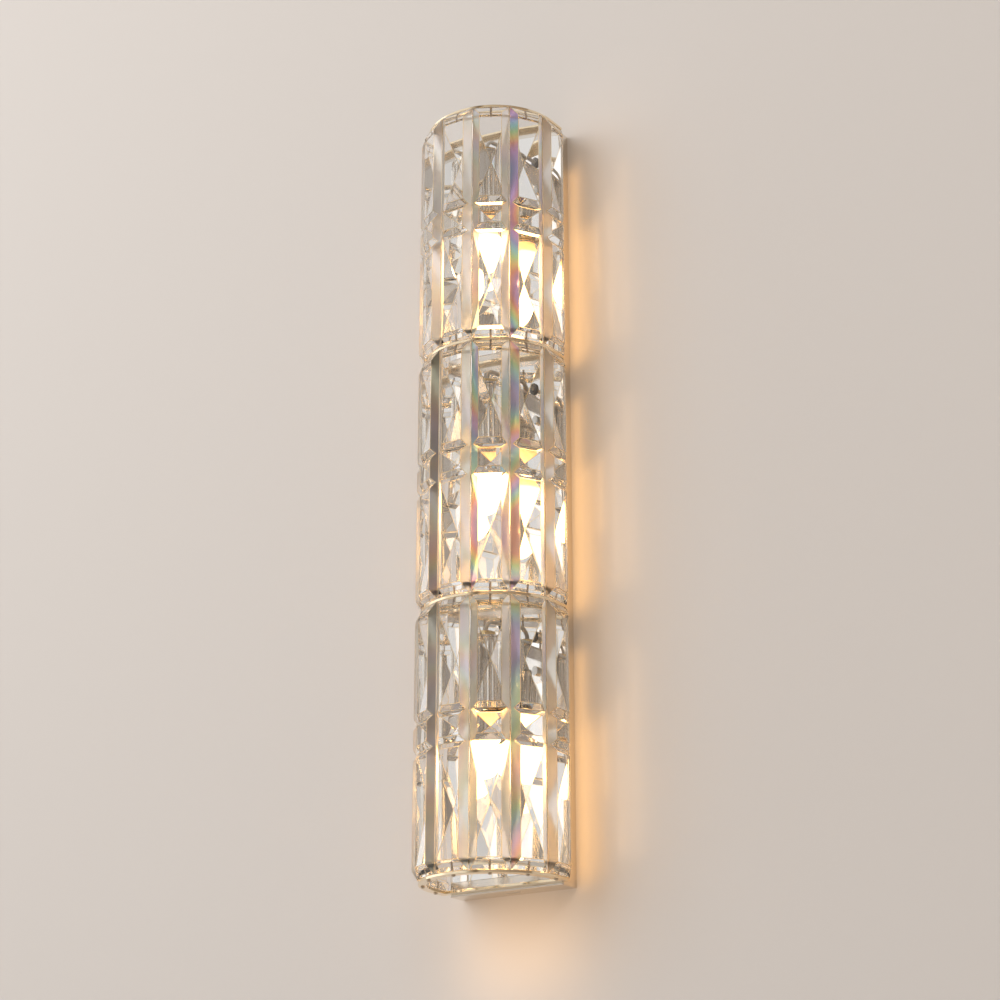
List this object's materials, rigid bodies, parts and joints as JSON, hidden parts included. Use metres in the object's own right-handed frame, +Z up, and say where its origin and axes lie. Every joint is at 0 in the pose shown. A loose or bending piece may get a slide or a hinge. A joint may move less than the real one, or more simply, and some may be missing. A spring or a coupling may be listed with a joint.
{
  "type": "crystal wall sconce",
  "caption": "Tall half-round wall lamp: faceted glass bars held between flat hoops on a slim mirror-fronted back plate, with a screw-in lamp hanging inside each tier.",
  "frame": {"origin": "on the wall plane, at the centre of the back plate and of the cable entry in the wall bracket", "axes": "+Z up along the plate, -Y out of the wall into the room, +X to the viewer's right as the lamp is faced"},
  "size_m": [0.116, 0.0895, 0.6],
  "materials": {
    "clear_crystal": "cut and polished",
    "hoop_metal": "mirror polished",
    "plate_metal": "polished steel",
    "mirror_panel": "mirror",
    "pin_steel": "dark steel",
    "sleeve_chrome": "fluted chrome",
    "porcelain": "glazed",
    "contact_brass": "bright",
    "nipple_brass": "nickelled",
    "screw_steel": "zinc plated",
    "bracket_steel": "chromed sheet",
    "zinc_steel": "zinc plated sheet",
    "cap_nickel": "nickel plated",
    "lit_opal_glass": "opal, lit",
    "lead_sheath": "silicone sheath",
    "grommet_rubber": "matt",
    "terminal_plastic": "moulded"
  },
  "bodies": {
    "sconce": {"back_plate": "plate_metal", "crystal_1_1": "clear_crystal", "crystal_1_2": "clear_crystal", "crystal_1_3": "clear_crystal", "crystal_1_4": "clear_crystal", "crystal_1_5": "clear_crystal", "crystal_1_6": "clear_crystal", "crystal_1_7": "clear_crystal", "crystal_2_1": "clear_crystal", "crystal_2_2": "clear_crystal", "crystal_2_3": "clear_crystal", "crystal_2_4": "clear_crystal", "crystal_2_5": "clear_crystal", "crystal_2_6": "clear_crystal", "crystal_2_7": "clear_crystal", "crystal_3_1": "clear_crystal", "crystal_3_2": "clear_crystal", "crystal_3_3": "clear_crystal", "crystal_3_4": "clear_crystal", "crystal_3_5": "clear_crystal", "crystal_3_6": "clear_crystal", "crystal_3_7": "clear_crystal", "crystal_pins_1": "pin_steel", "crystal_pins_2": "pin_steel", "crystal_screws_bottom": "pin_steel", "crystal_screws_top": "pin_steel", "earth_screw": "screw_steel", "holder_bracket_1": "bracket_steel", "holder_bracket_2": "bracket_steel", "holder_bracket_3": "bracket_steel", "holder_bracket_screws": "screw_steel", "holder_contacts": "contact_brass", "holder_core_1": "porcelain", "holder_core_2": "porcelain", "holder_core_3": "porcelain", "holder_nipples": "nipple_brass", "holder_nuts": "nipple_brass", "holder_sleeve_1": "sleeve_chrome", "holder_sleeve_2": "sleeve_chrome", "holder_sleeve_3": "sleeve_chrome", "hoop_bottom": "hoop_metal", "hoop_middle_1": "hoop_metal", "hoop_middle_2": "hoop_metal", "hoop_top": "hoop_metal", "lamp_leads": "lead_sheath", "lead_grommets": "grommet_rubber", "mirror_panel_1": "mirror_panel", "mirror_panel_2": "mirror_panel", "mirror_panel_3": "mirror_panel", "plate_screws": "screw_steel", "terminal_block": "terminal_plastic", "terminal_screws": "screw_steel", "wall_bracket": "zinc_steel"},
    "lamp_bulb_1": {"bulb_cap_1": "cap_nickel", "bulb_glass_1": "lit_opal_glass"},
    "lamp_bulb_2": {"bulb_cap_2": "cap_nickel", "bulb_glass_2": "lit_opal_glass"},
    "lamp_bulb_3": {"bulb_cap_3": "cap_nickel", "bulb_glass_3": "lit_opal_glass"}
  },
  "joints": [
    {"name": "bulb_1_unscrew", "type": "hinge", "parent": "sconce", "child": "lamp_bulb_1", "pos_m": [0, -0.043, 0.2558], "axis": [0, 0, -1], "range_deg": [0, 1260]},
    {"name": "bulb_2_unscrew", "type": "hinge", "parent": "sconce", "child": "lamp_bulb_2", "pos_m": [0, -0.043, 0.0576], "axis": [0, 0, -1], "range_deg": [0, 1260]},
    {"name": "bulb_3_unscrew", "type": "hinge", "parent": "sconce", "child": "lamp_bulb_3", "pos_m": [0, -0.043, -0.1406], "axis": [0, 0, -1], "range_deg": [0, 1260]}
  ]
}
